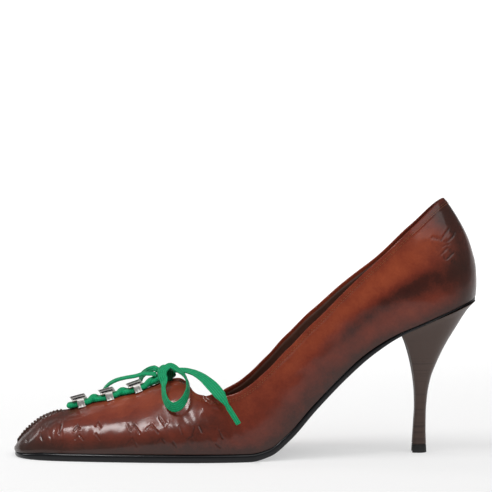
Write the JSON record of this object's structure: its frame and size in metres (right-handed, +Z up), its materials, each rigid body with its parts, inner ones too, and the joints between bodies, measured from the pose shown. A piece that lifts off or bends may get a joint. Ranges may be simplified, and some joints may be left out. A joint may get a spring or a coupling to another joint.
{
  "type": "lace up heel",
  "caption": "Slim-heeled court shoe with a raised toe seam, a laced vamp slit, a bow, an open collar and a thin arched sole.",
  "frame": {"origin": "on the floor under the ball of the foot, at the sole's flat tread", "axes": "-X towards the toe, -Y the outer side of the foot, +Z up"},
  "size_m": [0.2526, 0.0792, 0.139],
  "materials": {
    "burnished_calf": "burnished and waxed, semi-gloss",
    "sock_leather": "matt lining leather",
    "sole_leather": "black, polished edge",
    "stacked_leather": "stacked, waxed",
    "lift_rubber": "matt",
    "nickel": "polished nickel plate",
    "lace_cotton": "flat woven cotton",
    "aglet_fabric": "wrapped and stiffened"
  },
  "bodies": {
    "root": {"upper": "burnished_calf", "insole": "sock_leather", "outsole": "sole_leather", "heel": "stacked_leather", "top_lift": "lift_rubber", "lace_bridge_1": "nickel", "lace_bridge_2": "nickel", "lace_bridge_3": "nickel", "lace_crossings": "lace_cotton", "lace_knot": "lace_cotton", "lace_loop_near": "lace_cotton", "lace_loop_far": "lace_cotton", "lace_end_near": "lace_cotton", "lace_end_far": "lace_cotton", "aglet_near": "aglet_fabric", "aglet_far": "aglet_fabric"}
  },
  "joints": []
}
